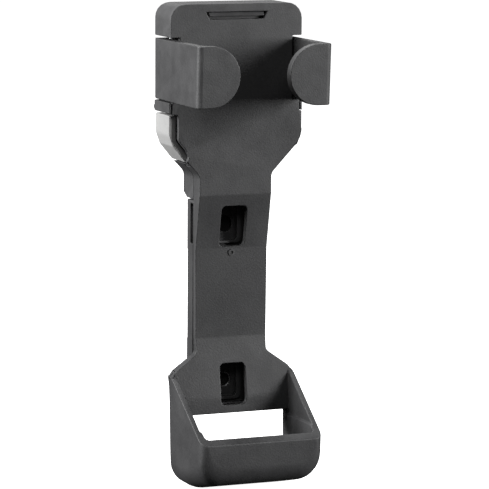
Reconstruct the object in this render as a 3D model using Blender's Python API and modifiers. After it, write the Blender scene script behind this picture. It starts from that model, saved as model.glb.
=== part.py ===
"""Frame-mounted bicycle lock carrier: a long face plate with a stirrup cup at
its foot and a pair of sprung, hinged jaws at its head.

Lengths in the code are millimetres, turned into metres by P() and the helpers.
x runs to the right, y to the back, z up. In the code y is counted from the
front face of the waist, and P() moves it so that Y = 0 is the mounting plane,
where the rubber pads meet the bicycle frame. Z = 0 is the lower bolt axis.
"""

import math

import bmesh
import bpy
from mathutils import Matrix, Vector

MM = 0.001

# ---- driving dimensions, in mm -------------------------------------------
BOLT_PITCH = 64.0        # bottle-boss spacing
MOUNT_Y = 10.2           # mounting plane, behind the waist's front face
TOP_Z = 153.3
HEAD_W = 28.1            # half width of cap and jaws
COLLAR_W = 28.6
HEAD_Y = -4.35           # front face of head and upper plate
BACK_Y = 13.7            # back of the head
WAIST_W = 15.5
PLATE_T = 2.2
FLANGE_Y = 2.6           # back edge of the plate's side flanges
CREASES = (77.06, 54.8, 18.9, -4.2)
FOOT_Y = -4.0            # front face below the last crease
FOOT_Z = -11.7           # lower edge of the plate
WIN_W, WIN_H = 5.4, 8.38
CAP_Z = 140.2
JAW_Z0, JAW_Z1 = 114.85, 139.1
JAW_WALL = 3.6
JAW_FRONT = -34.8
LOBE_R = 12.13
LOBE_X = 22.5
PIVOT_X, PIVOT_Y = 22.4, 8.0
KNUCKLE_R = 5.6
PIN_R = 1.7
COLLAR_Z0, COLLAR_Z1 = 110.2, 114.4
PANEL_W = 24.15          # half width of the plate between the jaws
LEVER_Z0, LEVER_Z1 = 90.1, 109.2
LEVER_T = 3.0
LEVER_Y0 = -1.75
LEVER_PIVOT = (-17.4, 94.2)
CUP_W = 26.45            # half width at CUP_WIDE_Z and above
CUP_WIDE_Z, CUP_DRAFT = 3.3, 0.0225   # below that the walls draw in by this much per mm
CUP_Y0, CUP_Y1 = -35.0, 0.4
CUP_Z0, CUP_Z1, CUP_Z2 = -33.6, -39.6, -39.8   # underside at the front, at its bend and at the back
CUP_BEND_Y = -11.5
CUP_T, CUP_SIDE_T = 3.0, 2.2
LEDGE_Z = -13.4           # a small ledge inside the cup's side walls
RIM_Z, RIM_SLOPE = 5.75, 0.670   # rim plane: z = RIM_Z + RIM_SLOPE * y
RAIL_W = 15.3
RAIL_Y0, RAIL_Y1 = 2.9, 9.2
RAIL_Z0, RAIL_Z1 = -10.6, 74.4
SLAB_Y = 6.4
TUBE_R, WALL_R, TUBE_C = 26.0, 28.0, 36.2   # hollow in the back for the frame tube
GAP = 0.3

# ---- scene -----------------------------------------------------------------
for old in list(bpy.data.objects):
    bpy.data.objects.remove(old, do_unlink=True)

PARTS = bpy.data.collections.new("lock_carrier")
CUTTERS = bpy.data.collections.new("cutters")
bpy.context.scene.collection.children.link(PARTS)
bpy.context.scene.collection.children.link(CUTTERS)


def P(x, y, z):
    return Vector((x * MM, (y - MOUNT_Y) * MM, z * MM))


def material(name, rgb, rough, metal=0.0):
    mat = bpy.data.materials.new(name)
    mat.use_nodes = True
    shader = mat.node_tree.nodes["Principled BSDF"]
    shader.inputs["Base Color"].default_value = (*rgb, 1.0)
    shader.inputs["Roughness"].default_value = rough
    shader.inputs["Metallic"].default_value = metal
    mat.diffuse_color = (*rgb, 1.0)
    return mat


CHARCOAL = material("charcoal_moulding", (0.052, 0.052, 0.054), 0.62)
GREY = material("grey_lever", (0.42, 0.42, 0.42), 0.5)
RUBBER = material("black_rubber", (0.02, 0.02, 0.021), 0.85)
STEEL = material("zinc_steel", (0.55, 0.56, 0.57), 0.35, 1.0)
SPRING = material("spring_steel", (0.42, 0.42, 0.44), 0.3, 1.0)


def add_object(name, mesh, mat=None, helper=False):
    obj = bpy.data.objects.new(name, mesh)
    if helper:
        CUTTERS.objects.link(obj)
        obj.hide_render = True
        obj.display_type = "WIRE"
    else:
        PARTS.objects.link(obj)
        if mat:
            obj.data.materials.clear()
            obj.data.materials.append(mat)
    return obj


def tidy(mesh, dist=1e-6):
    bm = bmesh.new()
    bm.from_mesh(mesh)
    bmesh.ops.remove_doubles(bm, verts=bm.verts, dist=dist)
    bmesh.ops.recalc_face_normals(bm, faces=bm.faces)
    bm.to_mesh(mesh)
    bm.free()
    return mesh


def mesh_of(obj):
    """The evaluated mesh of a curve or of an object with modifiers, in world space."""
    bpy.context.view_layer.update()
    graph = bpy.context.evaluated_depsgraph_get()
    mesh = bpy.data.meshes.new_from_object(obj.evaluated_get(graph))
    mesh.transform(obj.matrix_world)
    return mesh


AXES = {
    "X": Matrix(((0, 0, 1), (1, 0, 0), (0, 1, 0))).to_4x4(),
    "Y": Matrix(((1, 0, 0), (0, 0, -1), (0, 1, 0))).to_4x4(),
    "Z": Matrix.Identity(4),
}


def prism(name, pts, axis, lo, hi, mat=None, helper=True):
    """A flat outline, extruded along an axis. pts are (y, z), (x, z) or (x, y)."""
    curve = bpy.data.curves.new(name + "_outline", "CURVE")
    curve.dimensions = "2D"
    curve.fill_mode = "BOTH"
    curve.extrude = (hi - lo) / 2 * MM
    spline = curve.splines.new("POLY")
    spline.points.add(len(pts) - 1)
    spline.use_cyclic_u = True
    for point, (a, b) in zip(spline.points, pts):
        point.co = (a * MM, b * MM, 0, 1)
    guide = bpy.data.objects.new(name + "_guide", curve)
    CUTTERS.objects.link(guide)
    mid = (lo + hi) / 2
    shift = {"X": P(mid, 0, 0), "Y": P(0, mid, 0), "Z": P(0, 0, mid)}[axis]
    guide.matrix_world = Matrix.Translation(shift) @ AXES[axis]
    mesh = tidy(mesh_of(guide))
    bpy.data.objects.remove(guide, do_unlink=True)
    return add_object(name, mesh, mat, helper)


def block(name, x0, x1, y0, y1, z0, z1, mat=None, helper=True):
    bm = bmesh.new()
    bmesh.ops.create_cube(bm, size=1.0)
    low, high = P(x0, y0, z0), P(x1, y1, z1)
    size = high - low
    for v in bm.verts:
        v.co = Vector(low[i] + (v.co[i] + 0.5) * size[i] for i in range(3))
    mesh = bpy.data.meshes.new(name)
    bm.to_mesh(mesh)
    bm.free()
    return add_object(name, mesh, mat, helper)


TURN = {
    "X": Matrix.Rotation(math.pi / 2, 4, "Y"),
    "Y": Matrix.Rotation(-math.pi / 2, 4, "X"),
    "Z": Matrix.Identity(4),
}


def rod(name, r, axis, centre, lo, hi, sides=24, mat=None, helper=True):
    """A cylinder along an axis; centre holds the other two coordinates in x, y, z order."""
    bm = bmesh.new()
    bmesh.ops.create_cone(
        bm, cap_ends=True, segments=sides, radius1=r * MM, radius2=r * MM,
        depth=(hi - lo) * MM,
    )
    mid = (lo + hi) / 2
    a, b = centre
    at = {"X": P(mid, a, b), "Y": P(a, mid, b), "Z": P(a, b, mid)}[axis]
    mesh = bpy.data.meshes.new(name)
    bm.transform(Matrix.Translation(at) @ TURN[axis])
    bmesh.ops.recalc_face_normals(bm, faces=bm.faces)
    bm.to_mesh(mesh)
    bm.free()
    return add_object(name, mesh, mat, helper)


def boolean(obj, operation, *others):
    for other in others:
        mod = obj.modifiers.new(operation.lower(), "BOOLEAN")
        mod.operation = operation
        mod.solver = "EXACT"
        mod.object = other
    return obj


def cut(obj, *others):
    return boolean(obj, "DIFFERENCE", *others)


def join(obj, *others):
    return boolean(obj, "UNION", *others)


def keep(obj, *others):
    return boolean(obj, "INTERSECT", *others)


def settle(obj):
    """Applies the modifiers, so that a chain of them is worked out once."""
    mesh = mesh_of(obj)
    obj.modifiers.clear()
    mats = list(obj.data.materials)
    obj.data = tidy(mesh, 2e-6)
    if mats and not obj.data.materials:
        for mat in mats:
            obj.data.materials.append(mat)
    return obj


def rounded(corners, steps=5):
    """corners: (a, b, radius). Each corner with a radius becomes an arc tangent to its sides."""
    out = []
    count = len(corners)
    for i, (a, b, r) in enumerate(corners):
        p = Vector((a, b))
        if r <= 0:
            out.append((a, b))
            continue
        before = Vector(corners[i - 1][:2]) - p
        after = Vector(corners[(i + 1) % count][:2]) - p
        d0, d1 = before.normalized(), after.normalized()
        half = d0.angle(d1) / 2
        reach = min(r / math.tan(half), before.length * 0.49, after.length * 0.49)
        r = reach * math.tan(half)
        centre = p + (d0 + d1).normalized() * (r / math.sin(half))
        s, e = p + d0 * reach - centre, p + d1 * reach - centre
        a0 = math.atan2(s.y, s.x)
        sweep = (math.atan2(e.y, e.x) - a0 + math.pi) % (2 * math.pi) - math.pi
        for k in range(steps + 1):
            t = a0 + sweep * k / steps
            out.append((centre.x + r * math.cos(t), centre.y + r * math.sin(t)))
    return out


def turned(name, profile, axis, centre, mat, steps=20):
    """profile: (radius, height) from the top of the axis down the outer side to its foot."""
    bm = bmesh.new()
    verts = [bm.verts.new((r * MM, 0, h * MM)) for r, h in profile]
    for one, two in zip(verts, verts[1:]):
        bm.edges.new((one, two))
    mesh = bpy.data.meshes.new(name)
    bm.to_mesh(mesh)
    bm.free()
    obj = bpy.data.objects.new(name, mesh)
    PARTS.objects.link(obj)
    mod = obj.modifiers.new("turn", "SCREW")
    mod.steps = mod.render_steps = steps
    mod.use_merge_vertices = True
    mod.merge_threshold = 0.00001
    a, b = centre
    at = {"X": P(0, a, b), "Y": P(a, 0, b), "Z": P(a, b, 0)}[axis]
    obj.matrix_world = Matrix.Translation(at) @ TURN[axis]
    mesh = tidy(mesh_of(obj), 5e-7)
    bpy.data.objects.remove(obj, do_unlink=True)
    return add_object(name, mesh, mat, False)


def wire(name, points, r, mat, res=2):
    curve = bpy.data.curves.new(name + "_path", "CURVE")
    curve.dimensions = "3D"
    curve.bevel_depth = r * MM
    curve.bevel_resolution = res
    curve.use_fill_caps = True
    spline = curve.splines.new("POLY")
    spline.points.add(len(points) - 1)
    for point, co in zip(spline.points, points):
        point.co = (*P(*co), 1)
    guide = bpy.data.objects.new(name + "_guide", curve)
    CUTTERS.objects.link(guide)
    mesh = tidy(mesh_of(guide))
    bpy.data.objects.remove(guide, do_unlink=True)
    return add_object(name, mesh, mat, False)


def mirrored(obj, name, mat):
    """A mirror image across x = 0, as its own object."""
    bm = bmesh.new()
    bm.from_mesh(mesh_of(obj))
    bmesh.ops.scale(bm, vec=(-1, 1, 1), verts=bm.verts)
    bmesh.ops.reverse_faces(bm, faces=bm.faces)
    mesh = bpy.data.meshes.new(name)
    bm.to_mesh(mesh)
    bm.free()
    mesh.materials.clear()
    return add_object(name, mesh, mat, False)


# ---- shared outlines ----------------------------------------------------------
def right_side(grow=0.0):
    """The carrier's right edge from collar to waist, moved inwards by -grow."""
    return [
        (28.35 + grow, 101.0, 5.0),
        (27.0 + grow, 97.3, 3.0),
        (15.5 + grow, 85.1 + 0.35 * grow, 4.0),
    ]


# =================================================================================
# face plate: cap, front panel, waist and stirrup cup, one moulding
# =================================================================================
profile = [
    (HEAD_Y, TOP_Z + 5), (HEAD_Y, CREASES[0]), (0.0, CREASES[1]), (0.0, CREASES[2]),
    (FOOT_Y, CREASES[3]), (FOOT_Y, FOOT_Z - 5),
    (0.0, FOOT_Z - 5), (0.0, 0.6), (FLANGE_Y, 3.8), (FLANGE_Y, 88.8),
    (HEAD_Y + PLATE_T, 88.8), (HEAD_Y + PLATE_T, CAP_Z - 1), (BACK_Y, CAP_Z - 1), (BACK_Y, TOP_Z + 5),
]
face_plate = prism("face_plate", profile, "X", -40, 40, CHARCOAL, helper=False)

front_outline = rounded([
    (HEAD_W, TOP_Z, 6.3), (HEAD_W, CAP_Z, 0), (PANEL_W, CAP_Z, 0), (PANEL_W, 114.55, 0),
    (27.3, 114.55, 0), (27.3, 110.0, 0), (28.35, 110.0, 0), *right_side(),
    (15.5, CREASES[1], 0), (15.3, CREASES[2], 0), (15.1, 12.9, 2.5), (24.4, 6.2, 3.0),
    (26.42, 3.3, 3.0), (26.0, FOOT_Z, 0),
    (-26.0, FOOT_Z, 0), (-26.42, 3.3, 3.0), (-24.4, 6.2, 3.0), (-15.1, 12.9, 2.5),
    (-15.3, CREASES[2], 0), (-15.5, CREASES[1], 0), (-15.5, 85.1, 4.0),
    (-20.0, 89.9, 0), (-20.9, 90.6, 0.4), (-20.0, 92.6, 1.5), (-20.9, 94.9, 1.0),
    (-24.5, 99.4, 2.5), (-24.5, 109.6, 1.2), (-27.3, 109.6, 0), (-27.3, 114.55, 0),
    (-PANEL_W, 114.55, 0), (-PANEL_W, CAP_Z, 0), (-HEAD_W, CAP_Z, 0), (-HEAD_W, TOP_Z, 6.3),
], 5)
keep(face_plate, prism("face_outline", front_outline, "Y", -20, 30))

# The channel behind the waist, open to the back, and the hollow of the cap.
channel_profile = [
    (HEAD_Y + PLATE_T + 0.05, 95.0), (HEAD_Y + PLATE_T + 0.05, CREASES[0] - 0.6), (PLATE_T, CREASES[1] - 0.4),
    (PLATE_T, CREASES[2] + 0.4), (FOOT_Y + PLATE_T + 0.1, CREASES[3] + 0.6),
    (FOOT_Y + PLATE_T + 0.1, -8.6), (30.0, -8.6), (30.0, 95.0),
]
channel = prism("channel", channel_profile, "X", -30, 30)
keep(channel, prism("channel_outline", rounded([
    (26.4, 95.0, 0), (24.3, 92.4, 0), (13.3, 81.0 + 3.2, 4.0), (13.3, -8.6, 0),
    (-13.3, -8.6, 0), (-13.3, 84.2, 4.0), (-18.4, 89.4, 0), (-18.4, 95.0, 0),
], 4), "Y", -20, 40))
settle(channel)
cap_hollow = prism("cap_hollow", rounded([
    (25.9, 151.1, 4.2), (25.9, CAP_Z - 2, 0), (-25.9, CAP_Z - 2, 0), (-25.9, 151.1, 4.2),
], 5), "Y", HEAD_Y + PLATE_T, 30)
cut(face_plate, channel, cap_hollow)
settle(face_plate)
for side in (-1, 1):
    pocket = prism(f"wing_pocket_{side}", [(y + (0.07 if y < 20 else 0), z) for y, z in channel_profile], "X", -30, 30)
    keep(pocket, prism(f"wing_outline_{side}", [
        (side * x, z) for x, z in ((12.9, 11.2), (15.0, 10.2), (22.5, 4.8), (23.4, 2.6), (23.4, -8.5), (12.9, -8.5))
    ], "Y", -20, 40))
    settle(pocket)
    cut(face_plate, pocket)
settle(face_plate)

# The cap's back corners are rounded in plan, and its top edge at the back is eased.
def quarter(cx, cy, r, a0, steps=5):
    return [(cx + r * math.cos(math.radians(a0 + 90 * k / steps)), cy + r * math.sin(math.radians(a0 + 90 * k / steps)))
            for k in range(steps + 1)]


for side in (-1, 1):
    corner = quarter(HEAD_W - 1.0, BACK_Y - 1.0, 1.0, 0)
    shape = [(side * x, y) for x, y in corner + [(HEAD_W - 1.0, BACK_Y + 2), (HEAD_W + 2, BACK_Y + 2), (HEAD_W + 2, BACK_Y - 1.0)]]
    cut(face_plate, prism(f"cap_corner_{side}", shape, "Z", CAP_Z - 4, TOP_Z + 6))
cut(face_plate, prism("cap_top_edge", quarter(BACK_Y - 1.2, TOP_Z - 1.2, 1.2, 0) + [
    (BACK_Y - 1.2, TOP_Z + 2), (BACK_Y + 2, TOP_Z + 2), (BACK_Y + 2, TOP_Z - 1.2),
], "X", -50, 50))
settle(face_plate)

# The cup: walls, floor and a low back rail, cut along the slanting rim plane.
def loft(name, rings):
    """A closed body through rings of the same number of points."""
    bm = bmesh.new()
    rows = [[bm.verts.new(P(*co)) for co in ring] for ring in rings]
    count = len(rows[0])
    for one, two in zip(rows, rows[1:]):
        for k in range(count):
            bm.faces.new((one[k], one[(k + 1) % count], two[(k + 1) % count], two[k]))
    bm.faces.new(rows[0])
    bm.faces.new(rows[-1])
    bmesh.ops.recalc_face_normals(bm, faces=bm.faces)
    mesh = bpy.data.meshes.new(name)
    bm.to_mesh(mesh)
    bm.free()
    return add_object(name, mesh, None, True)


def corner_arc(w, floor, r, steps=7):
    """From the side wall round to the floor, on the right."""
    return [(w - r + r * math.cos(math.radians(90 * k / steps)), floor + r - r * math.sin(math.radians(90 * k / steps)))
            for k in range(steps + 1)]


def cup_form(name, hollow):
    """The cup's solid, or its hollow: the floor falls to the back, then levels out."""
    if hollow:
        w, y0, plan_r = CUP_W - CUP_SIDE_T, CUP_Y0 + CUP_T, 1.6
        line = rounded([(y0, 60, 0), (y0, -31.27, 5.5), (-11.1, -36.61, 27.0), (CUP_Y1 - 2.6, -36.75, 1.0), (CUP_Y1 - 2.6, 60, 0)], 6)
    else:
        w, y0, plan_r = CUP_W, CUP_Y0, 3.4
        line = rounded([(y0, 60, 0), (y0, CUP_Z0, 8.5), (CUP_BEND_Y, CUP_Z1, 30.0), (CUP_Y1, CUP_Z2, 1.5), (CUP_Y1, 60, 0)], 6)
    rings = []
    for y, floor in line[1:-1]:
        inward = max(plan_r - (y - y0), 0.0)
        half = w - plan_r + math.sqrt(max(plan_r ** 2 - inward ** 2, 0.0))
        if hollow:
            right = [(half, 60), (half, LEDGE_Z + 0.2), (half - 0.75, LEDGE_Z - 0.1), (half - 1.3, -20.0)] + corner_arc(half - 1.6, floor, 5.0)
        else:
            right = [(half, 60)] + corner_arc(half, floor, 8.6)
        rings.append([(x, y, z) for x, z in right] + [(-x, y, z) for x, z in reversed(right)])
    form = loft(name, rings)
    if not hollow:
        keep(form, prism(name + "_rim", [
            (-60, -60), (20, -60), (20, RIM_Z + RIM_SLOPE * 20), (-60, RIM_Z + RIM_SLOPE * -60),
        ], "X", -60, 60))
        keep(form, prism(name + "_shoulders", rounded([
            (27.5, -60, 0), (27.5, 1.0, 0), (26.47, 3.32, 3.0), (24.45, 6.25, 3.0), (15.0, 13.1, 0),
            (-15.0, 13.1, 0), (-24.45, 6.25, 3.0), (-26.47, 3.32, 3.0), (-27.5, 1.0, 0), (-27.5, -60, 0),
        ], 5), "Y", -60, 30))
        settle(form)
    for v in form.data.vertices:
        v.co.x *= 1 + CUP_DRAFT / CUP_W * (min(v.co.z / MM, CUP_WIDE_Z) - CUP_WIDE_Z)
    return form


cup = cup_form("cup", False)
cup_inside = cup_form("cup_inside", True)
back_door = block("back_door", -23.1, 23.1, -6, 6, -25.5, 30)
cut(cup, cup_inside, back_door)
settle(cup)
join(face_plate, cup)
settle(face_plate)


def window(name, z, y0, y1, w=WIN_W, h=WIN_H, r=1.9):
    return prism(name, rounded([
        (w, z + h, r), (w, z - h, r), (-w, z - h, r), (-w, z + h, r),
    ], 4), "Y", y0, y1)


cut(
    face_plate,
    window("lower_window", 0.0, -8, 1.5),
    window("upper_window", BOLT_PITCH, -8, 4.0),
    prism("snap_window", [(11.4, 147.2), (-11.4, 147.2), (-12.9, 150.05), (12.9, 150.05)], "Y", -8, 0),
)
settle(face_plate)
HEAD_SCREWS = [(x, z) for z in (146.6, 80.6) for x in (-19.4 if z > 100 else -10.2, 19.4 if z > 100 else 10.2)]
RAIL_SCREWS = [(0.0, 22.5), (0.0, 46.0)]
for i, (x, z) in enumerate(HEAD_SCREWS):
    join(face_plate, rod(f"head_boss_{i}", 2.4, "Y", (x, z), -2.5, 8.0 if z < 100 else 9.0, 16))
for i, (x, z) in enumerate(RAIL_SCREWS):
    join(face_plate, rod(f"rail_boss_{i}", 2.5, "Y", (x, z), 2.0, 6.0, 16))
settle(face_plate)
for i, (x, z) in enumerate(HEAD_SCREWS):
    cut(face_plate, rod(f"head_pilot_{i}", 1.5, "Y", (x, z), 0.5, 12.0, 12))
for i, (x, z) in enumerate(RAIL_SCREWS):
    cut(face_plate, rod(f"rail_pilot_{i}", 1.5, "Y", (x, z), 3.2, 9.0, 12))
settle(face_plate)

# =================================================================================
# head housing: back wall hollowed for the frame tube, side walls, decks, collar
# =================================================================================
def wall_outer(x):
    return min(BACK_Y, TUBE_C - math.sqrt(TUBE_R ** 2 - min(abs(x), 20.0) ** 2))


def wall_inner(x):
    return min(BACK_Y - 1.8, TUBE_C - math.sqrt(WALL_R ** 2 - min(abs(x), 20.0) ** 2))


head_housing = prism("head_housing", [
    (2.9, 60.0), (BACK_Y, 60.0), (BACK_Y, 170.0), (5.0, 170.0), (5.0, 116.0), (-1.85, 116.0), (-1.85, 89.2), (2.9, 89.2),
], "X", -40, 40, CHARCOAL, helper=False)
keep(head_housing, prism("housing_outline", rounded([
    (25.3, 150.7, 4.0), (25.3, 140.9, 0), (17.2, 140.9, 0), (17.2, 112.5, 0),
    (28.35, 112.5, 0), *right_side(), (15.5, 70.0, 0),
    (-15.5, 70.0, 0), (-15.5, 85.1, 4.0), (-19.9, 89.7, 0), (-17.6, 89.7, 0), (-18.2, 92.0, 0.8), (-20.4, 95.4, 1.5),
    (-23.1, 99.0, 2.5), (-23.1, 110.9, 0), (-28.35, 110.9, 0), (-28.35, 112.5, 0),
    (-17.2, 112.5, 0), (-17.2, 140.9, 0), (-25.3, 140.9, 0), (-25.3, 150.7, 4.0),
], 4), "Y", -20, 40))
settle(head_housing)
collar = prism("collar", rounded([
    (-COLLAR_W, HEAD_Y + 0.15, 0.5), (COLLAR_W, HEAD_Y + 0.15, 0.5), (COLLAR_W, BACK_Y + 0.3, 2.5), (-COLLAR_W, BACK_Y + 0.3, 2.5),
], 4), "Z", COLLAR_Z0, COLLAR_Z1)
join(head_housing, collar)
settle(head_housing)

# Hollow in front of the back wall: below the lower deck, then above it.
hollow_plan = [(40, -40)] + [(x, wall_inner(x)) for x in (40, 14.6, 13.0, 10.8, 7.2, 3.6, 0, -3.6, -7.2, -10.8, -13.0, -14.6, -40)] + [(-40, -40)]
lower_hollow = prism("lower_hollow", hollow_plan, "Z", 60, 112.4)
keep(lower_hollow, prism("lower_hollow_outline", rounded([
    (26.5, 125.0, 0), (26.5, 100.4, 4.0), (24.9, 97.6, 2.0), (13.6, 85.9, 3.0), (13.6, 76.9, 0), (-13.6, 76.9, 0), (-13.6, 86.2, 3.0),
    (-17.2, 89.9, 0), (-50, 89.9, 0), (-50, 110.2, 0), (-26.6, 110.2, 0), (-26.6, 125.0, 0),
], 4), "Y", -50, 50))
settle(lower_hollow)
upper_hollow = prism("upper_hollow", hollow_plan, "Z", COLLAR_Z1, 180)
tube_way = prism("tube_way", [(-13.1, 60)] + [
    (x, wall_outer(x)) for x in (-13.1, -10.8, -7.2, -3.6, 0, 3.6, 7.2, 10.8, 13.1)
] + [(13.1, 60)], "Z", 50, 180)
heel = prism("heel", [(-30, 74.9), (9.6, 74.9), (BACK_Y + 0.6, 77.1), (60, 77.2), (60, 50), (-30, 50)], "X", -60, 60)
plate_seat = block("plate_seat", -27.6, 27.6, -20, -1.85, 100, 120)
cut(head_housing, lower_hollow, upper_hollow)
settle(head_housing)
cut(head_housing, tube_way, heel, plate_seat)
settle(head_housing)

def wall_mid(x):
    return (wall_inner(x) + wall_outer(x)) / 2


top_deck = prism("top_deck", [(25.5, -1.7), (25.5, 12.8), (14.6, 12.8)] + [
    (x, wall_mid(x)) for x in (13.0, 10.8, 7.2, 3.6, 0, -3.6, -7.2, -10.8, -13.0)
] + [(-14.6, 12.8), (-25.5, 12.8), (-25.5, -1.7)], "Z", 140.45, 142.3)
tongue = prism("tongue", [
    (-1.85, 141.0), (-1.85, 148.4), (-4.8, 148.4), (-3.5, 149.95), (-0.2, 149.95), (-0.2, 141.0),
], "X", -11.75, 11.75)
spring_shelf = block("spring_shelf", -5.5, 5.5, 0.5, 9.0, 94.0, 95.8)
lever_seat = block("lever_seat", -19.4, -17.6, 1.5, 12.5, 97.6, 102.8)
ear = rod("ear", 2.2, "Y", LEVER_PIVOT, 10.6, 12.6, 20)
ear_web = block("ear_web", LEVER_PIVOT[0], -13.0, 10.7, 12.7, 92.6, 95.8)
join(head_housing, top_deck)
settle(head_housing)
join(head_housing, tongue)
settle(head_housing)
join(head_housing, spring_shelf, lever_seat)
settle(head_housing)
join(ear, ear_web)
settle(ear)
join(head_housing, ear)
settle(head_housing)
for side in (-1, 1):
    s = "l" if side < 0 else "r"
    cut(
        head_housing,
        rod(f"pin_hole_{s}", PIN_R + GAP, "Z", (side * PIVOT_X, PIVOT_Y), 108, 146, 24),
        rod(f"latch_hole_{s}", 1.8, "Z", (side * 18.3, 6.6), 111.0, 116, 16),
    )
cut(head_housing, rod("lever_pin_hole", 1.35, "Y", LEVER_PIVOT, 5.0, 12.2, 16))
for i, (x, z) in enumerate(HEAD_SCREWS):
    y_face = 13.6 if z > 100 else wall_outer(x)
    cut(
        head_housing,
        rod(f"screw_way_{i}", 1.6, "Y", (x, z), 7.0, 20.0, 16),
        rod(f"screw_sink_{i}", 3.0, "Y", (x, z), y_face - 1.1 if z > 100 else 10.6, 20.0, 20),
    )
settle(head_housing)

# =================================================================================
# mounting rail: tray behind the waist, with two bolt wells and strap slots
# =================================================================================
mount_rail = prism("mount_rail", rounded([
    (RAIL_W, RAIL_Z1, 1.0), (RAIL_W, RAIL_Z0, 2.0), (-RAIL_W, RAIL_Z0, 2.0), (-RAIL_W, RAIL_Z1, 1.0),
], 3), "Y", RAIL_Y0, RAIL_Y1, CHARCOAL, helper=False)
cut(mount_rail, block("tray", -13.6, 13.6, -5, SLAB_Y, RAIL_Z0 + 1.7, RAIL_Z1 - 1.7))
settle(mount_rail)
# Each well: middle of the strap slots, rim (bottom, top), floor (bottom, top), foot (bottom, top).
WELLS = {
    "lower": (0.8, (-7.8, 9.8), (-6.6, 8.6), (RAIL_Z0 + 0.6, 17.9)),
    "upper": (BOLT_PITCH + 0.9, (56.2, 73.6), (57.3, 72.0), (54.0, RAIL_Z1)),
}
WELL_Y, WELL_FLOOR_Y = 5.0, 7.2
WELL_W, WELL_RIM_W = 4.4, 6.5
for where, (mid, rim, base, foot) in WELLS.items():
    join(
        mount_rail,
        window(f"{where}_tower", (rim[0] + rim[1]) / 2, WELL_Y, 7.5, WELL_RIM_W, (rim[1] - rim[0]) / 2, 2.2),
        block(f"{where}_foot", -RAIL_W, RAIL_W, 7.0, 9.8, foot[0], foot[1]),
    )
for z in (26.5, 34.0, 41.5):
    join(mount_rail, block(f"rib_{int(z)}", -13.9, 13.9, 3.6, 7.0, z - 0.8, z + 0.8))
settle(mount_rail)
for where, (mid, rim, base, foot) in WELLS.items():
    well = prism(f"{where}_well", rounded([
        (-WELL_W, -5, 0), (-WELL_W, WELL_FLOOR_Y, 1.8), (WELL_W, WELL_FLOOR_Y, 1.8), (WELL_W, -5, 0),
    ], 4), "Z", base[0], base[1])
    keep(well, window(f"{where}_well_ends", (base[0] + base[1]) / 2, -8, 12, WELL_W + 0.05, (base[1] - base[0]) / 2 + 0.03, 1.7))
    settle(well)
    cut(
        mount_rail,
        well,
        block(f"{where}_strap_l", -20, -8.7, 2.95, SLAB_Y, mid - 8.1, mid + 8.1),
        block(f"{where}_strap_r", 8.7, 20, 2.95, SLAB_Y, mid - 8.1, mid + 8.1),
        block(f"{where}_exit_l", -13.2, -10.4, 5.0, 12, mid - 8.1, mid + 8.1),
        block(f"{where}_exit_r", 10.4, 13.2, 5.0, 12, mid - 8.1, mid + 8.1),
        # shallow seat for the rubber pad
        block(f"{where}_pad_seat", -8.2, 8.2, 8.4, 12, (RAIL_Z0 + 2.0) if where == "lower" else 55.4, 11.0 if where == "lower" else RAIL_Z1 - 1.4),
    )
settle(mount_rail)
cut(
    mount_rail,
    rod("lower_bolt_hole", 2.9, "Y", (0, 0), 3.0, 14, 28),
    rod("lower_bolt_seat", 3.7, "Y", (0, 0), 7.85, 14, 28),
    prism("upper_bolt_slot", rounded([
        (2.75, BOLT_PITCH + 3.2, 2.7), (2.75, BOLT_PITCH - 3.5, 2.7), (-2.75, BOLT_PITCH - 3.5, 2.7), (-2.75, BOLT_PITCH + 3.2, 2.7),
    ], 6), "Y", 3.0, 14),
)
for i, (x, z) in enumerate(RAIL_SCREWS):
    cut(
        mount_rail,
        rod(f"rail_way_{i}", 1.6, "Y", (x, z), 3.0, 14, 16),
        rod(f"rail_sink_{i}", 3.1, "Y", (x, z), 8.7, 14, 20),
    )
settle(mount_rail)

lower_bolt_bush = turned("lower_bolt_bush", [
    (2.65, 9.5), (3.4, 9.5), (3.4, 7.95), (2.65, 7.95), (2.65, 9.5),
], "Y", (0, 0), STEEL, 28)

def pad(name, z0, z1, hole):
    """A rubber pad; a thin skin is left across its bolt hole, and the bolt pierces it."""
    obj = prism(name, rounded([(7.9, z1, 1.2), (7.9, z0, 1.2), (-7.9, z0, 1.2), (-7.9, z1, 1.2)], 3),
                "Y", 8.7, MOUNT_Y, RUBBER, helper=False)
    cut(obj, hole)
    return settle(obj)


pad("lower_pad", RAIL_Z0 + 2.3, 10.7, rod("lower_pad_hole", 3.6, "Y", (0, 0), 3.0, 9.6, 24))
pad("upper_pad", 55.7, RAIL_Z1 - 1.7, prism("upper_pad_slot", rounded([
    (3.3, BOLT_PITCH + 6.0, 3.2), (3.3, BOLT_PITCH - 4.0, 3.2), (-3.3, BOLT_PITCH - 4.0, 3.2), (-3.3, BOLT_PITCH + 6.0, 3.2),
], 6), "Y", 3.0, 9.6))

# =================================================================================
# jaws
# =================================================================================
def jaw_plan():
    """The right jaw's section: knuckle side, outer wall, front corner, lobe."""
    outer, inner = HEAD_W, HEAD_W - JAW_WALL
    front, back = JAW_FRONT, JAW_FRONT + 3.8
    return rounded([
        (outer, 13.45, 1.0), (outer, front, 2.2), (10.4, front, 0), (10.4, back, 0), (inner, back, 1.8),
        (inner, 1.0, 0), (inner - 1.0, 4.0, 0), (inner - 1.0, PIVOT_Y, 0), (PIVOT_X + 0.5, PIVOT_Y + 1.0, 0),
        (PIVOT_X + 0.5, 13.45, 0),
    ], 5)


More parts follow.
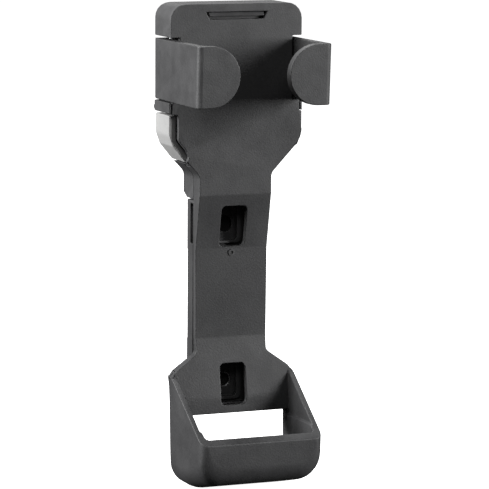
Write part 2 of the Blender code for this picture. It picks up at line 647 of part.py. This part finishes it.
right_jaw = prism("right_jaw", jaw_plan(), "Z", JAW_Z0, JAW_Z1, CHARCOAL, helper=False)
mid_z = (JAW_Z0 + JAW_Z1) / 2
lobe = [(LOBE_X + LOBE_R * math.sin(math.radians(a)), mid_z + LOBE_R * math.cos(math.radians(a)))
        for a in range(-180, 1, 9)]
keep(right_jaw, prism("lobe_outline", lobe + [
    (LOBE_X, JAW_Z1 + 1), (40, JAW_Z1 + 1), (40, JAW_Z0 - 1), (LOBE_X, JAW_Z0 - 1),
], "Y", -60, 40))
settle(right_jaw)
keep(right_jaw, prism("jaw_heel", [(-60, 100), (11.9, 100)] + quarter(11.9, JAW_Z0 + 1.6, 1.6, -90) + [
    (20, JAW_Z0 + 1.6), (20, 150), (-60, 150),
], "X", 0, 60))
settle(right_jaw)
knuckle = rod("knuckle", KNUCKLE_R, "Z", (PIVOT_X, PIVOT_Y), JAW_Z0, JAW_Z1, 32)
join(right_jaw, knuckle)
settle(right_jaw)
cut(
    right_jaw,
    rod("knuckle_bore", PIN_R + 0.12, "Z", (PIVOT_X, PIVOT_Y), 100, 160, 24),
    rod("spring_room", 4.1, "Z", (PIVOT_X, PIVOT_Y), 121.5, 132.5, 24),
    block("spring_door", 12, PIVOT_X, 1.5, 16, 121.5, 132.5),
    rod("latch_socket", 1.8, "Z", (18.6, 6.9), 100, 117.4, 16),
)
settle(right_jaw)


def lean(obj):
    """The jaws' fronts lean a little forward at the top."""
    for v in obj.data.vertices:
        y, z = v.co.y / MM + MOUNT_Y, v.co.z / MM
        far = min(max((-6.0 - y) / 26.0, 0.0), 1.0)
        v.co.y -= 0.62 * far * (z - mid_z) / LOBE_R * MM
    return obj


lean(right_jaw)
left_jaw = mirrored(right_jaw, "left_jaw", CHARCOAL)

# The moving pieces' origins sit on their joints' axes.
def set_origin(obj, x, y, z):
    at = P(x, y, z)
    obj.data.transform(Matrix.Translation(-at))
    obj.location = at


set_origin(right_jaw, PIVOT_X, PIVOT_Y, mid_z)
set_origin(left_jaw, -PIVOT_X, PIVOT_Y, mid_z)

for side, name in ((-1, "left"), (1, "right")):
    x = side * PIVOT_X
    turned(f"{name}_jaw_pin", [
        (0.0, 144.1), (2.3, 144.1), (2.8, 143.6), (2.8, 142.65), (PIN_R, 142.65), (PIN_R, 111.6), (1.2, 111.0), (0.0, 111.0),
    ], "Z", (x, PIVOT_Y), STEEL, 24)
    coil = []
    turns, per = 5, 12
    for k in range(turns * per + 1):
        t = 2 * math.pi * k / per
        a = math.pi / 2 - side * t
        coil.append((x + 3.0 * math.cos(a), PIVOT_Y + 3.0 * math.sin(a), 123.6 + 1.36 * k / per))
    start = [(x - side * 6.6, PIVOT_Y + 3.0, 123.6)]
    end = [(x - side * 1.8, coil[-1][1], coil[-1][2]), (x - side * 6.0, coil[-1][1] - 0.4, coil[-1][2])]
    wire(f"{name}_jaw_spring", start + coil + end, 0.5, SPRING)

# =================================================================================
# release lever, its pin and springs, and the latch bar
# =================================================================================
lever_outer = [(-27.65, LEVER_Z1, 0), (-27.65, 101.4, 6.0), (-26.0, 96.9, 3.0), (-20.9, LEVER_Z0 + 0.6, 0)]
lever_inner = [(-20.4, LEVER_Z0 + 0.2, 0), (-18.9, 91.6, 0.8), (-21.0, 95.2, 1.5), (-24.65, 99.2, 3.0), (-24.65, LEVER_Z1, 0)]
release_lever = prism("release_lever", rounded(lever_outer + lever_inner, 5), "Y", LEVER_Y0, 13.3, GREY, helper=False)
px, pz = LEVER_PIVOT
join(
    release_lever,
    prism("lever_finger", [(-25.0, 108.9), (-22.9, 108.9), (-25.0, 104.7)], "Y", 3.0, 7.0),
    block("lever_arm", -21.6, px, 1.3, 10.1, pz - 1.2, pz + 1.2),
)
settle(release_lever)
join(release_lever, rod("lever_barrel", 2.3, "Y", (px, pz), 1.2, 10.2, 24))
settle(release_lever)
cut(release_lever, rod("barrel_bore", 1.2, "Y", (px, pz), -1.0, 30.0, 20))
settle(release_lever)
release_lever_at = (px, 4.0, pz)
set_origin(release_lever, *release_lever_at)
turned("lever_pin", [
    (0.0, 11.6), (1.1, 11.6), (1.1, 0.4), (0.8, 0.1), (0.0, 0.1),
], "Y", (px, pz), STEEL, 20)

latch_bar = prism("latch_bar", [
    (-23.6, 105.2), (-22.3, 107.8), (20.2, 107.8), (20.2, 105.2),
], "Y", 3.0, 7.4, CHARCOAL, helper=False)
for side in (-1, 1):
    join(latch_bar, rod(f"latch_nose_{side}", 1.4, "Z", (side * 18.3, 6.6), 107.0, 114.4, 16))
join(latch_bar, rod("latch_guide", 3.2, "Z", (0.0, 4.6), 103.6, 106.0, 20))
settle(latch_bar)


def coil_z(name, x, y, z0, z1, r, turns, wire_r, mat, per=10):
    pts = []
    for k in range(turns * per + 1):
        t = 2 * math.pi * k / per
        pts.append((x + r * math.cos(t), y + r * math.sin(t), z0 + (z1 - z0) * k / (turns * per)))
    return wire(name, pts, wire_r, mat)


coil_z("latch_spring", 0.0, 4.6, 96.5, 102.9, 2.2, 5, 0.35, SPRING)
pts = []
for k in range(4 * 10 + 1):
    t = 2 * math.pi * k / 10
    pts.append((-23.9 + 3.8 * k / 40, 6.6 + 2.0 * math.cos(t), 100.5 + 2.0 * math.sin(t)))
wire("lever_spring", pts, 0.32, SPRING)

# =================================================================================
# screws
# =================================================================================
def screw(name, x, z, y_head, head_r, head_t, length, r=1.2):
    """A pan-head screw entering from the back."""
    return turned(name, [
        (0.0, y_head), (head_r * 0.55, y_head), (head_r, y_head - head_t * 0.45), (head_r, y_head - head_t),
        (r, y_head - head_t), (r, y_head - head_t - length + 1.0), (0.0, y_head - head_t - length),
    ], "Y", (x, z), STEEL, 16)


for i, (x, z) in enumerate(HEAD_SCREWS):
    upper = z > 100
    screw(f"housing_screw_{i + 1}", x, z, 13.7 if upper else 12.0, 2.6, 0.9 if upper else 1.0, 9.0)
for i, (x, z) in enumerate(RAIL_SCREWS):
    screw(f"rail_screw_{i + 1}", x, z, 10.0, 2.7, 1.2, 5.2)

# Round and rounded pieces are shaded smooth, with their real edges kept sharp.
for obj in PARTS.objects:
    obj.data.shade_smooth()
    obj.data.set_sharp_from_angle(angle=math.radians(32))
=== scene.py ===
"""Looks of a frame-mounted bicycle lock carrier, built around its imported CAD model.

Lengths in the helpers are millimetres. x runs to the right and z up. y is counted
to the back from the front face of the waist; P() moves it to the frame's origin,
which is on the mounting plane, 10.2 mm further back.
"""
import math

import bmesh
import bpy
from mathutils import Matrix, Vector
from mathutils.bvhtree import BVHTree


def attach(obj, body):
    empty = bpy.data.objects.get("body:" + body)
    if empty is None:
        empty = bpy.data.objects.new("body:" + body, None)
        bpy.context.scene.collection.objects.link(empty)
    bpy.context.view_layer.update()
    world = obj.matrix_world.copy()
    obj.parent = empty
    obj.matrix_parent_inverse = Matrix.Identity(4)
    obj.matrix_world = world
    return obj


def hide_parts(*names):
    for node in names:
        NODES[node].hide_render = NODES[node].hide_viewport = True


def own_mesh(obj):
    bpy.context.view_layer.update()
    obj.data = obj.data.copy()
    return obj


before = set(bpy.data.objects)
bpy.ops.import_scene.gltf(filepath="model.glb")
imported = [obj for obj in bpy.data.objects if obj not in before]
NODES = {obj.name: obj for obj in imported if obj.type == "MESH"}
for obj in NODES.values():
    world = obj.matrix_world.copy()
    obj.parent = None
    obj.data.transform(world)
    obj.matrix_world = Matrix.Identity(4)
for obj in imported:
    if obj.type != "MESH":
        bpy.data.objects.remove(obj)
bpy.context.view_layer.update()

MM = 0.001
MOUNT_Y = 10.2

WORK = bpy.data.collections.new("work")
SHOW = bpy.data.collections.new("lock_carrier_looks")
bpy.context.scene.collection.children.link(WORK)
bpy.context.scene.collection.children.link(SHOW)


# ------------------------------------------------------------------------------
# shape helpers
# ------------------------------------------------------------------------------
def P(x, y, z):
    return Vector((x * MM, (y - MOUNT_Y) * MM, z * MM))


def new_object(name, mesh, collection=None):
    obj = bpy.data.objects.new(name, mesh)
    (collection or WORK).objects.link(obj)
    return obj


def clean(mesh, dist=1.5e-6, flat=None):
    bm = bmesh.new()
    bm.from_mesh(mesh)
    bmesh.ops.remove_doubles(bm, verts=bm.verts, dist=dist)
    bmesh.ops.dissolve_degenerate(bm, edges=bm.edges, dist=dist)
    if flat is not None:
        bmesh.ops.dissolve_limit(
            bm, angle_limit=math.radians(flat), verts=bm.verts, edges=bm.edges,
            use_dissolve_boundaries=False,
        )
        bmesh.ops.connect_verts_concave(bm, faces=bm.faces)
    bmesh.ops.recalc_face_normals(bm, faces=bm.faces)
    bm.to_mesh(mesh)
    bm.free()
    return mesh


def evaluated(obj):
    bpy.context.view_layer.update()
    graph = bpy.context.evaluated_depsgraph_get()
    mesh = bpy.data.meshes.new_from_object(obj.evaluated_get(graph))
    mesh.transform(obj.matrix_world)
    return mesh


def drop(obj):
    bpy.data.objects.remove(obj, do_unlink=True)


AXES = {
    "X": Matrix(((0, 0, 1), (1, 0, 0), (0, 1, 0))).to_4x4(),
    "Y": Matrix(((1, 0, 0), (0, 0, -1), (0, 1, 0))).to_4x4(),
    "Z": Matrix.Identity(4),
}
TURN = {
    "X": Matrix.Rotation(math.pi / 2, 4, "Y"),
    "Y": Matrix.Rotation(-math.pi / 2, 4, "X"),
    "Z": Matrix.Identity(4),
}


def prism(name, pts, axis, lo, hi):
    curve = bpy.data.curves.new(name, "CURVE")
    curve.dimensions = "2D"
    curve.fill_mode = "BOTH"
    curve.extrude = (hi - lo) / 2 * MM
    spline = curve.splines.new("POLY")
    spline.points.add(len(pts) - 1)
    spline.use_cyclic_u = True
    for point, (a, b) in zip(spline.points, pts):
        point.co = (a * MM, b * MM, 0, 1)
    guide = new_object(name + "_guide", curve)
    mid = (lo + hi) / 2
    shift = {"X": P(mid, 0, 0), "Y": P(0, mid, 0), "Z": P(0, 0, mid)}[axis]
    guide.matrix_world = Matrix.Translation(shift) @ AXES[axis]
    mesh = clean(evaluated(guide), 1e-6)
    drop(guide)
    return new_object(name, mesh)


def block(name, x0, x1, y0, y1, z0, z1):
    bm = bmesh.new()
    bmesh.ops.create_cube(bm, size=1.0)
    low, high = P(x0, y0, z0), P(x1, y1, z1)
    size = high - low
    for v in bm.verts:
        v.co = Vector(low[i] + (v.co[i] + 0.5) * size[i] for i in range(3))
    mesh = bpy.data.meshes.new(name)
    bm.to_mesh(mesh)
    bm.free()
    return new_object(name, mesh)


def rod(name, r, axis, centre, lo, hi, sides=32, r_high=None):
    bm = bmesh.new()
    bmesh.ops.create_cone(
        bm, cap_ends=True, segments=sides, radius1=r * MM,
        radius2=(r if r_high is None else r_high) * MM, depth=(hi - lo) * MM,
    )
    mid = (lo + hi) / 2
    a, b = centre
    at = {"X": P(mid, a, b), "Y": P(a, mid, b), "Z": P(a, b, mid)}[axis]
    mesh = bpy.data.meshes.new(name)
    bm.transform(Matrix.Translation(at) @ TURN[axis])
    bmesh.ops.recalc_face_normals(bm, faces=bm.faces)
    bm.to_mesh(mesh)
    bm.free()
    return new_object(name, mesh)


def rounded(corners, steps=5):
    out = []
    count = len(corners)
    for i, (a, b, r) in enumerate(corners):
        p = Vector((a, b))
        if r <= 0:
            out.append((a, b))
            continue
        before = Vector(corners[i - 1][:2]) - p
        after = Vector(corners[(i + 1) % count][:2]) - p
        d0, d1 = before.normalized(), after.normalized()
        half = d0.angle(d1) / 2
        reach = min(r / math.tan(half), before.length * 0.49, after.length * 0.49)
        r = reach * math.tan(half)
        centre = p + (d0 + d1).normalized() * (r / math.sin(half))
        s, e = p + d0 * reach - centre, p + d1 * reach - centre
        a0 = math.atan2(s.y, s.x)
        sweep = (math.atan2(e.y, e.x) - a0 + math.pi) % (2 * math.pi) - math.pi
        for k in range(steps + 1):
            t = a0 + sweep * k / steps
            out.append((centre.x + r * math.cos(t), centre.y + r * math.sin(t)))
    return out


def combine(obj, operation, *others):
    for other in others:
        mod = obj.modifiers.new("b", "BOOLEAN")
        mod.operation = operation
        mod.solver = "EXACT"
        mod.object = other
        mesh = evaluated(obj)
        obj.modifiers.clear()
        old = obj.data
        obj.data = clean(mesh, 1e-6)
        bpy.data.meshes.remove(old)
        drop(other)
    return obj


def cut(obj, *others):
    return combine(obj, "DIFFERENCE", *others)


def join(obj, *others):
    return combine(obj, "UNION", *others)


def copy_of(node, flat=0.05, weld=0.002):
    """A CAD node's shape as a fresh mesh, its flat faces made whole."""
    mesh = NODES[node].data.copy()
    mesh.materials.clear()
    for attribute in list(mesh.attributes):
        if attribute.name.startswith("custom") or attribute.name == "sharp_face":
            mesh.attributes.remove(attribute)
    clean(mesh, weld * MM, flat)
    return new_object(node + "_shape", mesh)


def edge_weights(mesh, angle=30.0, crease=4.0, reach=3.4):
    """Weights the real edges: the sharp ones, and the slight folds between two broad faces."""
    bm = bmesh.new()
    bm.from_mesh(mesh)
    layer = bm.edges.layers.float.get("bevel_weight_edge") or bm.edges.layers.float.new("bevel_weight_edge")
    for e in bm.edges:
        if len(e.link_faces) != 2:
            continue
        turn = e.calc_face_angle(0.0)
        if turn > math.radians(angle):
            e[layer] = 1.0
        elif turn > math.radians(crease) and e.calc_length() > 2.0 * MM:
            a, b = e.verts[0].co, e.verts[1].co
            along = (b - a).normalized()
            wide = True
            for f in e.link_faces:
                far = max(((v.co - a) - along * (v.co - a).dot(along)).length for v in f.verts)
                wide = wide and far > reach * MM
            if wide:
                e[layer] = 1.0
    bm.to_mesh(mesh)
    bm.free()


def hold_in(mesh, tree, low, high, width):
    """Brings back any corner that a rounded edge has thrown clear of the shape it was cut from."""
    for v in mesh.vertices:
        near, normal, _, far = tree.find_nearest(v.co)
        if near is not None:
            outside = (v.co - near).dot(normal) > 0
            if far > (0.35 if outside else 0.75) * width * MM + 0.00002:
                v.co = near
        v.co = Vector(min(max(v.co[i], low[i]), high[i]) for i in range(3))


def soften(obj, width=0.4, segments=3, angle=30.0, crease=4.0, clamp=False, reach=3.4):
    """Rounds the real edges a little and gives broad faces their own normals."""
    tree = BVHTree.FromPolygons(
        [v.co.copy() for v in obj.data.vertices], [list(p.vertices) for p in obj.data.polygons]
    )
    low = [min(v.co[i] for v in obj.data.vertices) for i in range(3)]
    high = [max(v.co[i] for v in obj.data.vertices) for i in range(3)]
    edge_weights(obj.data, angle, crease, reach)
    mod = obj.modifiers.new("edge", "BEVEL")
    mod.limit_method = "WEIGHT"
    mod.width = width * MM
    mod.segments = segments
    mod.profile = 0.5
    mod.use_clamp_overlap = clamp
    mod.miter_outer = "MITER_SHARP"
    mod.loop_slide = True
    mesh = evaluated(obj)
    obj.modifiers.clear()
    old = obj.data
    obj.data = mesh
    bpy.data.meshes.remove(old)
    hold_in(obj.data, tree, low, high, width)
    clean(obj.data, 2e-6)
    return shade(obj)


def shade(obj, sharp=46.0):
    mesh = obj.data
    mesh.shade_smooth()
    mesh.set_sharp_from_angle(angle=math.radians(sharp))
    mod = obj.modifiers.new("normals", "WEIGHTED_NORMAL")
    mod.mode = "FACE_AREA"
    mod.weight = 80
    mod.keep_sharp = True
    mesh = evaluated(obj)
    obj.modifiers.clear()
    old = obj.data
    obj.data = mesh
    bpy.data.meshes.remove(old)
    return obj


def show(obj, name, body, mat, nodes=()):
    WORK.objects.unlink(obj)
    SHOW.objects.link(obj)
    obj.name = name
    obj.data.name = name
    obj.data.materials.clear()
    obj.data.materials.append(mat)
    for poly in obj.data.polygons:
        poly.material_index = 0
    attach(obj, body)
    if nodes:
        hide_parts(*nodes)
    return obj


# ------------------------------------------------------------------------------
# materials
# ------------------------------------------------------------------------------
def tree_of(name):
    mat = bpy.data.materials.new(name)
    mat.use_nodes = True
    return mat, mat.node_tree.nodes, mat.node_tree.links, mat.node_tree.nodes["Principled BSDF"]


def ramp(nodes, stops):
    node = nodes.new("ShaderNodeValToRGB")
    elements = node.color_ramp.elements
    while len(elements) > len(stops):
        elements.remove(elements[-1])
    while len(elements) < len(stops):
        elements.new(1.0)
    for element, (at, colour) in zip(elements, stops):
        element.position = at
        element.color = (*colour, 1.0) if len(colour) == 3 else colour
    return node


def noise(nodes, links, coords, scale, detail=3.0, rough=0.55):
    node = nodes.new("ShaderNodeTexNoise")
    node.inputs["Scale"].default_value = scale
    node.inputs["Detail"].default_value = detail
    node.inputs["Roughness"].default_value = rough
    links.new(coords, node.inputs["Vector"])
    return node


def moulding(name, dark, light, rough=(0.5, 0.66), grain=2300.0, grain_depth=0.00006, edge=2.2, specular=0.5, wear_and_highlight=0.6):
    """A grained moulded plastic: colour drift, fine grain, and slightly paler edges, partly rubbed wear and partly a
    painted highlight.
    """
    mat, nodes, links, shader = tree_of(name)
    coords = nodes.new("ShaderNodeTexCoord").outputs["Object"]
    drift = noise(nodes, links, coords, 42.0, 4.0)
    speck = noise(nodes, links, coords, grain * 0.55, 2.0, 0.6)
    mix = nodes.new("ShaderNodeMath")
    mix.operation = "MULTIPLY_ADD"
    links.new(speck.outputs["Fac"], mix.inputs[0])
    mix.inputs[1].default_value = 0.8
    links.new(drift.outputs["Fac"], mix.inputs[2])
    colour = ramp(nodes, [(0.62, dark), (1.0, light)])
    links.new(mix.outputs[0], colour.inputs["Fac"])
    # paler convex edges: rubbed wear together with a painted edge highlight
    geometry = nodes.new("ShaderNodeNewGeometry")
    edges = ramp(nodes, [(0.505, (0, 0, 0)), (0.56, (1, 1, 1))])
    links.new(geometry.outputs["Pointiness"], edges.inputs["Fac"])
    patches = ramp(nodes, [(0.35, (0.25, 0.25, 0.25)), (0.7, (1, 1, 1))])
    links.new(noise(nodes, links, coords, 160.0, 4.0).outputs["Fac"], patches.inputs["Fac"])
    worn_and_highlit = nodes.new("ShaderNodeMath")
    worn_and_highlit.operation = "MULTIPLY"
    links.new(edges.outputs["Color"], worn_and_highlit.inputs[0])
    links.new(patches.outputs["Color"], worn_and_highlit.inputs[1])
    amount = nodes.new("ShaderNodeMath")
    amount.operation = "MULTIPLY"
    links.new(worn_and_highlit.outputs[0], amount.inputs[0])
    amount.inputs[1].default_value = wear_and_highlight
    blend = nodes.new("ShaderNodeMix")
    blend.data_type = "RGBA"
    links.new(amount.outputs[0], blend.inputs["Factor"])
    links.new(colour.outputs["Color"], blend.inputs["A"])
    # the edge colour is lighter than the plastic: a painted edge highlight along with rubbed wear
    blend.inputs["B"].default_value = (*[min(1.0, c * edge + 0.02) for c in light], 1.0)
    links.new(blend.outputs["Result"], shader.inputs["Base Color"])
    # roughness
    span = nodes.new("ShaderNodeMapRange")
    span.inputs["From Min"].default_value = 0.3
    span.inputs["From Max"].default_value = 0.7
    span.inputs["To Min"].default_value = rough[0]
    span.inputs["To Max"].default_value = rough[1]
    links.new(noise(nodes, links, coords, 90.0, 5.0).outputs["Fac"], span.inputs["Value"])
    links.new(span.outputs["Result"], shader.inputs["Roughness"])
    # grain
    fine = noise(nodes, links, coords, grain, 2.0, 0.6)
    cells = nodes.new("ShaderNodeTexVoronoi")
    cells.inputs["Scale"].default_value = grain * 0.7
    links.new(coords, cells.inputs["Vector"])
    both = nodes.new("ShaderNodeMath")
    both.operation = "MULTIPLY_ADD"
    links.new(cells.outputs["Distance"], both.inputs[0])
    both.inputs[1].default_value = 0.7
    links.new(fine.outputs["Fac"], both.inputs[2])
    bump = nodes.new("ShaderNodeBump")
    bump.inputs["Strength"].default_value = 0.7
    bump.inputs["Distance"].default_value = grain_depth
    links.new(both.outputs[0], bump.inputs["Height"])
    links.new(bump.outputs["Normal"], shader.inputs["Normal"])
    shader.inputs["Specular IOR Level"].default_value = specular
    return mat


def metal(name, dark, light, rough=(0.28, 0.42), brushed=(1.0, 1.0, 1.0), depth=0.000006):
    mat, nodes, links, shader = tree_of(name)
    coords = nodes.new("ShaderNodeTexCoord").outputs["Object"]
    stretch = nodes.new("ShaderNodeMapping")
    stretch.inputs["Scale"].default_value = brushed
    links.new(coords, stretch.inputs["Vector"])
    colour = ramp(nodes, [(0.3, dark), (0.7, light)])
    links.new(noise(nodes, links, coords, 220.0, 5.0).outputs["Fac"], colour.inputs["Fac"])
    links.new(colour.outputs["Color"], shader.inputs["Base Color"])
    span = nodes.new("ShaderNodeMapRange")
    span.inputs["To Min"].default_value = rough[0]
    span.inputs["To Max"].default_value = rough[1]
    lines = noise(nodes, links, stretch.outputs["Vector"], 900.0, 3.0)
    links.new(lines.outputs["Fac"], span.inputs["Value"])
    links.new(span.outputs["Result"], shader.inputs["Roughness"])
    bump = nodes.new("ShaderNodeBump")
    bump.inputs["Strength"].default_value = 0.4
    bump.inputs["Distance"].default_value = depth
    links.new(lines.outputs["Fac"], bump.inputs["Height"])
    links.new(bump.outputs["Normal"], shader.inputs["Normal"])
    shader.inputs["Metallic"].default_value = 1.0
    return mat


CHARCOAL = moulding("charcoal_moulding", (0.022, 0.022, 0.0232), (0.038, 0.038, 0.0393))
CHARCOAL_JAW = moulding("charcoal_jaw", (0.024, 0.024, 0.0251), (0.039, 0.039, 0.0402), rough=(0.48, 0.62))
GREY = moulding("grey_lever", (0.30, 0.30, 0.298), (0.38, 0.38, 0.377), rough=(0.42, 0.58), edge=1.1, wear_and_highlight=0.2)
RUBBER = moulding("black_rubber", (0.012, 0.012, 0.012), (0.022, 0.022, 0.022), rough=(0.74, 0.9), grain=1500.0, grain_depth=0.00003, specular=0.3, wear_and_highlight=0.15)
STEEL = metal("zinc_steel", (0.47, 0.48, 0.50), (0.60, 0.60, 0.59), (0.3, 0.46))
SPRING = metal("spring_steel", (0.36, 0.36, 0.38), (0.5, 0.5, 0.5), (0.22, 0.34), (1.0, 1.0, 6.0))

# ------------------------------------------------------------------------------
# face plate
# ------------------------------------------------------------------------------
plate = copy_of("face_plate")
soften(plate, 0.42, 3)
# the gate mark on the waist: a shallow ring with a small nub in its middle
ring = rod("ring", 1.3, "Y", (0.0, 53.2), -0.5, 0.3, 24)
cut(ring, rod("ring_core", 0.7, "Y", (0.0, 53.2), -0.6, 0.4, 24))
cut(plate, ring)
shade(plate)
show(plate, "face_plate_moulding", "carrier", CHARCOAL, ["face_plate"])

housing = copy_of("head_housing")
soften(housing, 0.32, 3)
show(housing, "head_housing_moulding", "carrier", CHARCOAL, ["head_housing"])

rail = copy_of("mount_rail")
soften(rail, 0.3, 3)
show(rail, "mount_rail_moulding", "carrier", CHARCOAL, ["mount_rail"])

for side in ("left", "right"):
    jaw = copy_of(f"{side}_jaw")
    soften(jaw, 0.45, 3)
    show(jaw, f"{side}_jaw_moulding", f"{side}_jaw_body", CHARCOAL_JAW, [f"{side}_jaw"])

lever = copy_of("release_lever")
soften(lever, 0.35, 3)
show(lever, "release_lever_moulding", "lever_body", GREY, ["release_lever"])

latch = copy_of("latch_bar")
soften(latch, 0.25, 2)
show(latch, "latch_bar_moulding", "latch_body", CHARCOAL, ["latch_bar"])

for node, width, mat, slot in (
    ("lower_pad", 0.3, RUBBER, "black_rubber"), ("upper_pad", 0.3, RUBBER, "black_rubber"),
    ("lower_bolt_bush", 0.15, STEEL, "zinc_steel"),
    ("left_jaw_pin", 0.12, STEEL, "zinc_steel"), ("right_jaw_pin", 0.12, STEEL, "zinc_steel"),
    ("lever_pin", 0.1, STEEL, "zinc_steel"),
    *((f"housing_screw_{i}", 0.12, STEEL, "zinc_steel") for i in (1, 2, 3, 4)),
    *((f"rail_screw_{i}", 0.12, STEEL, "zinc_steel") for i in (1, 2)),
):
    piece = copy_of(node)
    soften(piece, width, 2)
    show(piece, node + "_piece", "carrier", mat, [node])

for node in ("left_jaw_spring", "right_jaw_spring", "lever_spring", "latch_spring"):
    piece = copy_of(node, flat=None)
    shade(piece, 60)
    show(piece, node + "_wire", "carrier", SPRING, [node])
    if node == "latch_spring":
        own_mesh(piece)
    if node == "lever_spring":
        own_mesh(piece)

# ------------------------------------------------------------------------------
# floor, light and camera
# ------------------------------------------------------------------------------
FLOOR_Z = -0.0400
floor_mesh = bpy.data.meshes.new("floor")
floor_mesh.from_pydata(
    [(-14, -14, FLOOR_Z), (14, -14, FLOOR_Z), (14, 14, FLOOR_Z), (-14, 14, FLOOR_Z)], [], [(0, 1, 2, 3)]
)
floor = bpy.data.objects.new("floor", floor_mesh)
bpy.context.scene.collection.objects.link(floor)
floor_mat, _, _, floor_shader = tree_of("pale_floor")
floor_shader.inputs["Base Color"].default_value = (0.9, 0.9, 0.9, 1)
floor_shader.inputs["Emission Color"].default_value = (1.0, 1.0, 1.0, 1)
floor_shader.inputs["Emission Strength"].default_value = 1.0
floor_shader.inputs["Roughness"].default_value = 0.9
floor_shader.inputs["Specular IOR Level"].default_value = 0.1
# its underside is clear, so the object can be seen from below
floor_nodes, floor_links = floor_mat.node_tree.nodes, floor_mat.node_tree.links
under = floor_nodes.new("ShaderNodeMixShader")
floor_links.new(floor_nodes.new("ShaderNodeNewGeometry").outputs["Backfacing"], under.inputs["Fac"])
floor_links.new(floor_shader.outputs["BSDF"], under.inputs[1])
floor_links.new(floor_nodes.new("ShaderNodeBsdfTransparent").outputs["BSDF"], under.inputs[2])
floor_links.new(under.outputs["Shader"], floor_nodes["Material Output"].inputs["Surface"])
floor_mesh.materials.append(floor_mat)
floor.visible_diffuse = False
floor.visible_glossy = False

world = bpy.data.worlds.new("studio")
bpy.context.scene.world = world
world.use_nodes = True
world.node_tree.nodes["Background"].inputs["Color"].default_value = (1.0, 1.0, 1.0, 1)
world.node_tree.nodes["Background"].inputs["Strength"].default_value = 0.03


def softbox(name, at, aim, size, power, size_y=None):
    data = bpy.data.lights.new(name, "AREA")
    data.shape = "RECTANGLE"
    data.size = size
    data.size_y = size_y or size
    data.energy = power
    lamp = bpy.data.objects.new(name, data)
    bpy.context.scene.collection.objects.link(lamp)
    lamp.location = at
    lamp.rotation_euler = (Vector(aim) - Vector(at)).to_track_quat("-Z", "Y").to_euler()
    return lamp


MIDDLE = (0.0, -0.02, 0.06)


def from_angle(azimuth, elevation, distance):
    """A place around the object: azimuth 0 is straight in front and grows to the right."""
    a, e = math.radians(azimuth), math.radians(elevation)
    return (
        MIDDLE[0] + distance * math.sin(a) * math.cos(e),
        MIDDLE[1] - distance * math.cos(a) * math.cos(e),
        MIDDLE[2] + distance * math.sin(e),
    )


softbox("above", from_angle(170, 56, 1.3), MIDDLE, 0.6, 13.0)
softbox("front_high", from_angle(-10, 40, 1.3), MIDDLE, 0.5, 2.5)
softbox("left", from_angle(-102, 20, 1.2), MIDDLE, 0.5, 27.0)
softbox("right", from_angle(49, 14, 1.3), MIDDLE, 0.6, 19.5)

# The camera, from the fit to the picture.
AZ, PITCH, ROLL = math.radians(21.845), math.radians(7.625), math.radians(0.373)
FOCAL_PX, DIST, SIDE = 3031.1, 1214.47, 489.0
OX, OY = -12.96, -33.83
forward = Vector((math.sin(AZ) * math.cos(PITCH), math.cos(AZ) * math.cos(PITCH), -math.sin(PITCH)))
right = Vector((math.cos(AZ), -math.sin(AZ), 0.0))
up = right.cross(forward)
right2 = right * math.cos(ROLL) + up * math.sin(ROLL)
up2 = -right * math.sin(ROLL) + up * math.cos(ROLL)
eye = P(0, 0, 70.0) - forward * DIST * MM
cam_data = bpy.data.cameras.new("camera")
cam_data.sensor_width = 36.0
cam_data.lens = FOCAL_PX / SIDE * 36.0
cam_data.shift_x = -OX / SIDE
cam_data.shift_y = OY / SIDE
cam_data.clip_start = 0.01
cam_data.clip_end = 60.0
camera = bpy.data.objects.new("camera", cam_data)
bpy.context.scene.collection.objects.link(camera)
camera.matrix_world = Matrix((
    (right2.x, up2.x, -forward.x, eye.x),
    (right2.y, up2.y, -forward.y, eye.y),
    (right2.z, up2.z, -forward.z, eye.z),
    (0, 0, 0, 1),
))
bpy.context.scene.camera = camera
bpy.context.scene.view_settings.view_transform = "Standard"
bpy.context.scene.view_settings.look = "None"

bpy.data.collections.remove(WORK)
